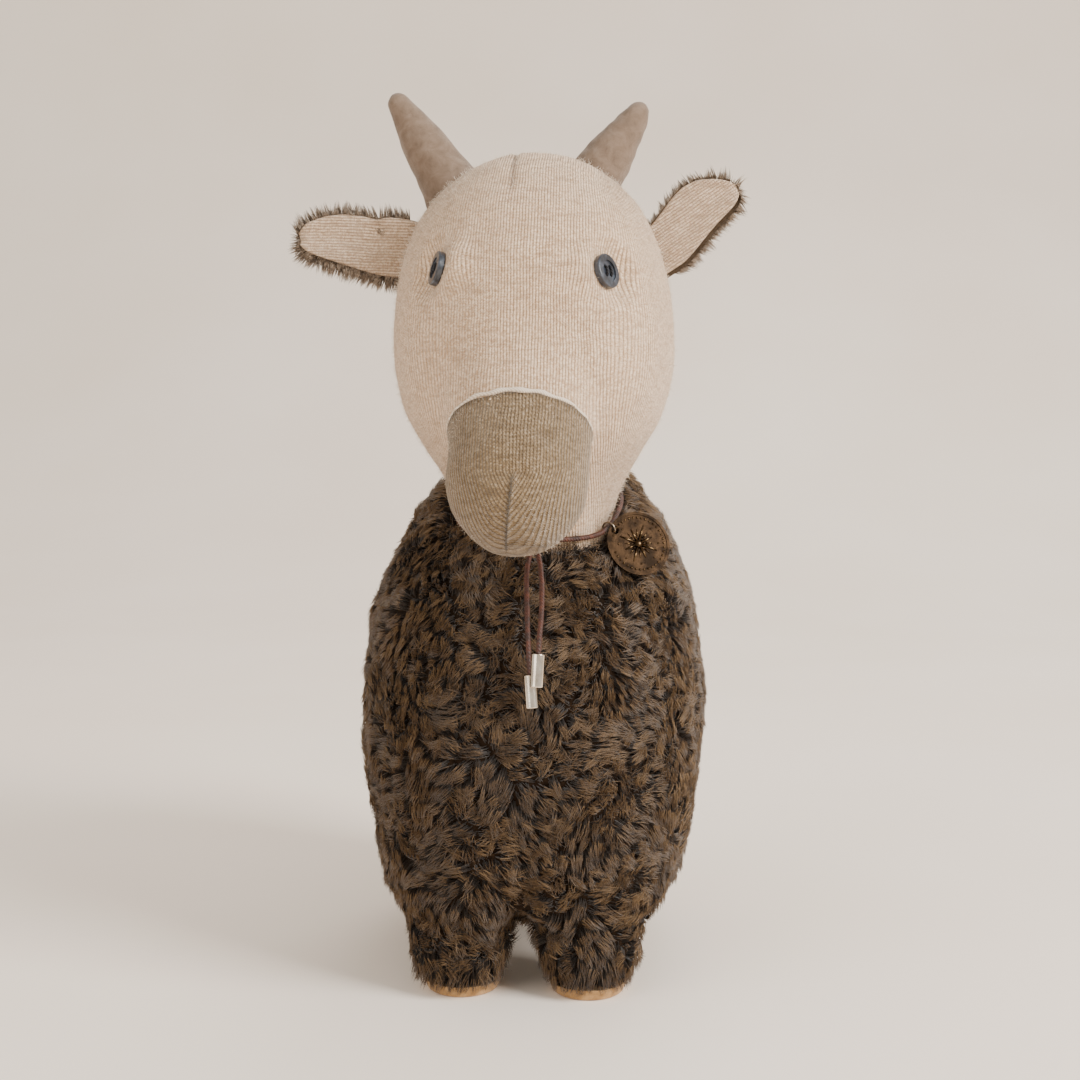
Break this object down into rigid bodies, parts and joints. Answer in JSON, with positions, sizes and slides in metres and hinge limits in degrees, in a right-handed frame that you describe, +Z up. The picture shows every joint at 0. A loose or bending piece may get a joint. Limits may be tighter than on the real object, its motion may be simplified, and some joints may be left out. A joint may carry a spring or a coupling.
{
  "type": "stuffed toy goat",
  "caption": "Standing stuffed goat with curly fur body and short legs, knitted head, suede horns, button eyes, and a neck cord carrying a medal and tube tips.",
  "frame": {"origin": "on the ground plane under the hooves, under the middle of the goat", "axes": "+Z up, the goat looks along -Y, its left side is +X"},
  "size_m": [0.1546, 0.2156, 0.3069],
  "materials": {
    "fur": "curly brown-grey plush pile",
    "face_knit": "oatmeal fine jersey",
    "muzzle_knit": "grey-taupe fine jersey",
    "ear_knit": "tan fine jersey",
    "suede": "taupe suede",
    "hoof_leather": "ochre suede",
    "stuffing": "white polyester fibre",
    "pouch_cloth": "plain woven cotton",
    "pellets": "loose plastic pellets",
    "button": "blue-black satin",
    "thread": "black cotton thread",
    "seam_thread": "taupe cotton thread",
    "cord": "dark red-brown waxed cord",
    "tip_metal": "pale satin nickel",
    "medal_metal": "antique nickel"
  },
  "bodies": {
    "goat": {"ballast_pellets": "pellets", "ballast_pouch": "pouch_cloth", "belly_gusset": "fur", "body_stuffing": "stuffing", "cord_knot": "cord", "face_panel": "face_knit", "front_left_hoof_sole": "hoof_leather", "front_left_leg_cover": "fur", "front_right_hoof_sole": "hoof_leather", "front_right_leg_cover": "fur", "head_back_left": "face_knit", "head_back_right": "face_knit", "head_stuffing": "stuffing", "hind_left_hoof_sole": "hoof_leather", "hind_left_leg_cover": "fur", "hind_right_hoof_sole": "hoof_leather", "hind_right_leg_cover": "fur", "left_eye_button": "button", "left_eye_thread": "thread", "left_flank_cover": "fur", "left_horn_cover": "suede", "left_horn_stuffing": "stuffing", "leg_stuffing": "stuffing", "muzzle_cap": "muzzle_knit", "muzzle_seam_thread": "seam_thread", "neck_cord": "cord", "right_eye_button": "button", "right_eye_thread": "thread", "right_flank_cover": "fur", "right_horn_cover": "suede", "right_horn_stuffing": "stuffing", "throat_gusset": "face_knit"},
    "right_ear": {"right_ear_knit": "ear_knit", "right_ear_fur": "fur"},
    "left_ear": {"left_ear_knit": "ear_knit", "left_ear_fur": "fur"},
    "tail_flap": {"tail": "fur"},
    "back_cord": {"back_hanging_cord": "cord", "back_cord_tip": "tip_metal"},
    "front_cord": {"front_hanging_cord": "cord", "front_cord_tip": "tip_metal"},
    "ring": {"jump_ring": "tip_metal"},
    "medal_disc": {"medal": "medal_metal"}
  },
  "joints": [
    {"name": "right_ear_bend", "type": "hinge", "parent": "goat", "child": "right_ear", "pos_m": [-0.04438, -0.03, 0.25248], "axis": [0.225, 0, 0.9744], "range_deg": [-30, 30], "stiffness_Nm_per_rad": 0.01},
    {"name": "left_ear_bend", "type": "hinge", "parent": "goat", "child": "left_ear", "pos_m": [0.04676, -0.03, 0.25276], "axis": [-0.3256, 0, 0.9455], "range_deg": [-30, 30], "stiffness_Nm_per_rad": 0.01},
    {"name": "tail_lift", "type": "hinge", "parent": "goat", "child": "tail_flap", "pos_m": [0, 0.1056, 0.131], "axis": [1, 0, 0], "range_deg": [0, 70]},
    {"name": "back_cord_swing", "type": "hinge", "parent": "goat", "child": "back_cord", "pos_m": [0.004, -0.0522, 0.1556], "axis": [0, 1, 0], "range_deg": [-20, 20]},
    {"name": "front_cord_swing", "type": "hinge", "parent": "goat", "child": "front_cord", "pos_m": [0.004, -0.0522, 0.1556], "axis": [0, 1, 0], "range_deg": [-20, 20]},
    {"name": "ring_swing", "type": "hinge", "parent": "goat", "child": "ring", "pos_m": [0.0274, -0.0336, 0.1576], "axis": [0.4489, 0.808, 0.3816], "range_deg": [-30, 3]},
    {"name": "medal_flap", "type": "hinge", "parent": "ring", "child": "medal_disc", "pos_m": [0.03017, -0.03488, 0.15706], "axis": [0.0165, 0.4194, -0.9076], "range_deg": [-6, 8]}
  ]
}
